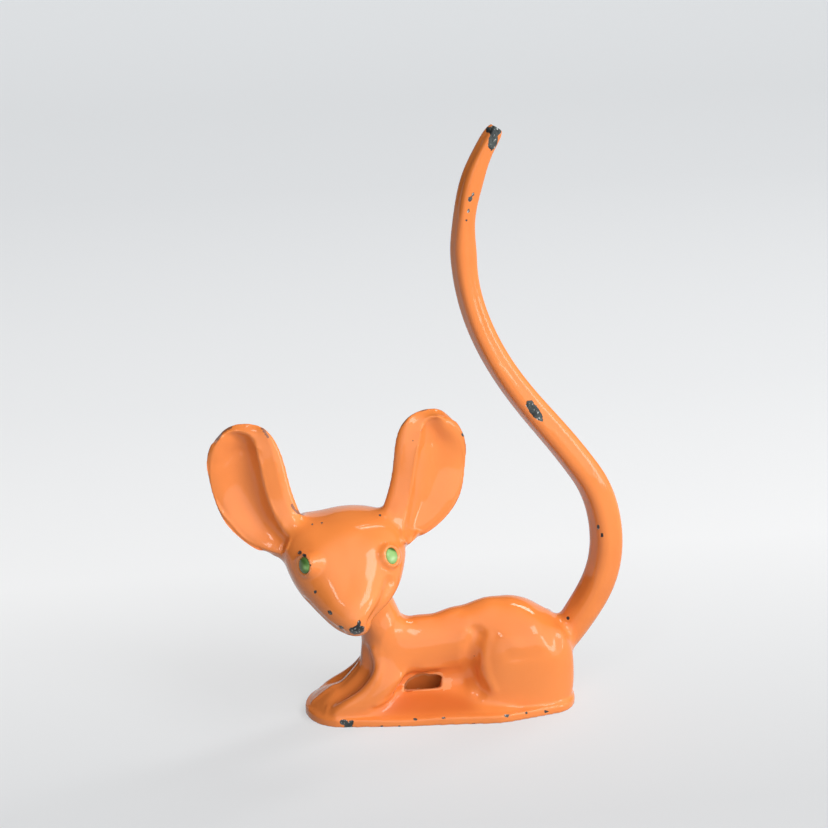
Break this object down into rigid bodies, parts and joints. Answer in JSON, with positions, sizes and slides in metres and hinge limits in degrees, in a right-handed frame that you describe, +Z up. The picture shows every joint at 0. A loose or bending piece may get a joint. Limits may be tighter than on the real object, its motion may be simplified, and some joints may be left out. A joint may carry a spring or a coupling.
{
  "type": "mouse figurine",
  "caption": "Enamelled cast-metal mouse crouching on a low oval plinth, head turned to one side, with cupped ears, glass eyes and a tall curved tail that holds rings.",
  "frame": {"origin": "on the plinth's underside, midway along it under the mouse's spine", "axes": "+Z up, +X from the chest towards the tail, -Y towards the side that the head looks to"},
  "size_m": [0.1036, 0.0447, 0.1488],
  "materials": {
    "enamel": "glossy orange enamel on cast zinc alloy, chipped to dark grey metal in places",
    "eye_glass": "opaque green glass cabochon"
  },
  "bodies": {
    "root": {"base_plinth": "enamel", "body_shell": "enamel", "head_shell": "enamel", "left_ear": "enamel", "right_ear": "enamel", "tail": "enamel", "left_eye": "eye_glass", "right_eye": "eye_glass"}
  },
  "joints": []
}
